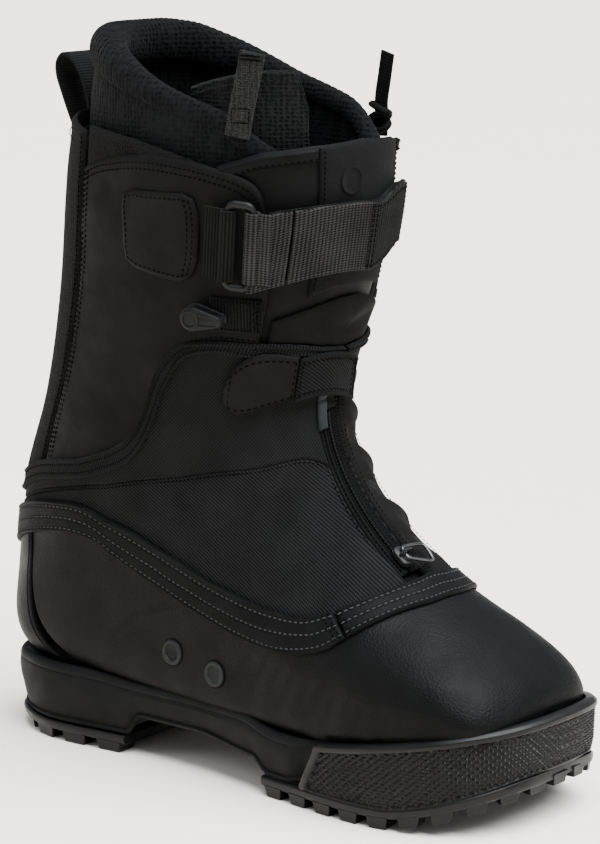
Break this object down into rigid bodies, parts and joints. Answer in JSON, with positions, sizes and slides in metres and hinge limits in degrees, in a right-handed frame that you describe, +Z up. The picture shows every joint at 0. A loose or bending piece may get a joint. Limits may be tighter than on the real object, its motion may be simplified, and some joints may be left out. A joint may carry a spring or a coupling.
{
  "type": "snowboard boot",
  "caption": "Left snowboard boot with zipped lace cover, ringed power strap, stitched rand band, knurled toe bumper and a tall soft inner boot.",
  "frame": {"origin": "on the ground, under the middle of the whole boot", "axes": "+X towards the toe, +Y towards the outer (lateral) side of a left foot, +Z up"},
  "size_m": [0.3244, 0.1356, 0.3586],
  "materials": {
    "outsole_rubber": "moulded rubber, knurled and matte",
    "midsole_foam": "moulded foam with a skin, satin",
    "board_foam": "non-woven board and foam",
    "leather": "synthetic leather with a fine pebble grain",
    "textile": "ripstop and twill textile, matte",
    "collar_mesh": "padded mesh",
    "webbing": "ribbed polyester webbing",
    "pull_webbing": "grey-brown textured webbing",
    "liner_fabric": "brushed knit over foam",
    "plastic": "moulded nylon, satin",
    "dark_metal": "black-coated steel wire"
  },
  "bodies": {
    "boot": {"midsole": "midsole_foam", "outsole_heel": "outsole_rubber", "outsole_forefoot": "outsole_rubber", "lasting_board": "board_foam", "lower_shell": "leather", "heel_counter": "leather", "rand_band_medial": "leather", "rand_band_lateral": "leather", "rand_band_toe": "leather", "quarter_lower_medial": "textile", "quarter_upper_medial": "textile", "rib_band_medial": "textile", "quarter_lower_lateral": "textile", "quarter_upper_lateral": "textile", "rib_band_lateral": "textile", "shaft_quarter_medial": "leather", "shaft_quarter_lateral": "leather", "back_stay": "collar_mesh", "shroud": "textile", "zip_gusset": "textile", "lining_foot": "liner_fabric", "lining_shaft": "liner_fabric", "tongue": "leather", "tongue_panel": "textile", "tongue_binding": "leather", "liner_foot": "liner_fabric", "liner_cuff": "liner_fabric", "liner_collar": "liner_fabric", "liner_flap": "liner_fabric", "footbed": "board_foam", "zip_tape_medial": "textile", "zip_tape_lateral": "textile", "zip_teeth": "plastic", "zip_garage": "textile", "ankle_band": "textile", "vent_medial_1": "plastic", "vent_medial_2": "plastic", "vent_lateral_1": "plastic", "vent_lateral_2": "plastic", "strap_anchor_medial": "leather", "strap_anchor_lateral": "leather", "strap_chape": "webbing", "hook_tab_medial": "webbing", "hook_tab_lateral": "webbing", "tongue_badge": "plastic", "strap_inner": "webbing"},
    "strap_ring": {"strap_ring": "dark_metal", "strap_fold": "webbing"},
    "strap_flap": {"strap_outer": "webbing", "strap_end": "textile"},
    "ankle_tab": {"ankle_tab": "leather"},
    "zip_slider": {"zip_slider": "dark_metal"},
    "zip_pull": {"zip_pull": "dark_metal"},
    "speed_hook_medial": {"speed_hook_medial": "plastic"},
    "speed_hook_lateral": {"speed_hook_lateral": "plastic"},
    "rear_pull_loop": {"rear_pull_loop": "webbing"},
    "front_pull_tab": {"front_pull_tab": "pull_webbing"},
    "side_pull_tab": {"side_pull_tab": "webbing"}
  },
  "joints": [
    {"name": "ring_swing", "type": "hinge", "parent": "boot", "child": "strap_ring", "pos_m": [0.01143, -0.05957, 0.26219], "axis": [-0.1413, 0.0979, -0.9851], "range_deg": [0, 10]},
    {"name": "strap_peel", "type": "hinge", "parent": "strap_ring", "child": "strap_flap", "pos_m": [0.03739, -0.04439, 0.26148], "axis": [-0.2013, 0.0559, -0.9779], "range_deg": [0, 80]},
    {"name": "ankle_tab_peel", "type": "hinge", "parent": "boot", "child": "ankle_tab", "pos_m": [0.02682, -0.0269, 0.19528], "axis": [0.2331, -0.0958, 0.9677], "range_deg": [0, 70]},
    {"name": "zip_slide", "type": "slide", "parent": "boot", "child": "zip_slider", "axis": [-0.6331, 0.016, 0.7739], "range_m": [0, 0.04]},
    {"name": "zip_pull_flip", "type": "hinge", "parent": "zip_slider", "child": "zip_pull", "pos_m": [0.07676, -0.00822, 0.11725], "axis": [0.7743, -0.2145, -0.5953], "range_deg": [0, 140]},
    {"name": "hook_medial_flex", "type": "hinge", "parent": "boot", "child": "speed_hook_medial", "pos_m": [0.00589, -0.05403, 0.22655], "axis": [0.124, -0.0973, 0.9875], "range_deg": [0, 20]},
    {"name": "hook_lateral_flex", "type": "hinge", "parent": "boot", "child": "speed_hook_lateral", "pos_m": [0.0059, 0.05359, 0.22656], "axis": [-0.1244, -0.1318, -0.9834], "range_deg": [0, 20]},
    {"name": "rear_loop_fold", "type": "hinge", "parent": "boot", "child": "rear_pull_loop", "pos_m": [-0.1188, -0.00044, 0.29428], "axis": [0, -1, 0], "range_deg": [0, 60]},
    {"name": "front_tab_fold", "type": "hinge", "parent": "boot", "child": "front_pull_tab", "pos_m": [0.01566, -0.05132, 0.31113], "axis": [0.9198, 0.39, -0.0439], "range_deg": [0, 70]},
    {"name": "side_tab_fold", "type": "hinge", "parent": "boot", "child": "side_pull_tab", "pos_m": [0.00963, 0.06008, 0.30295], "axis": [-0.9585, 0.2783, 0.0616], "range_deg": [0, 70]}
  ]
}
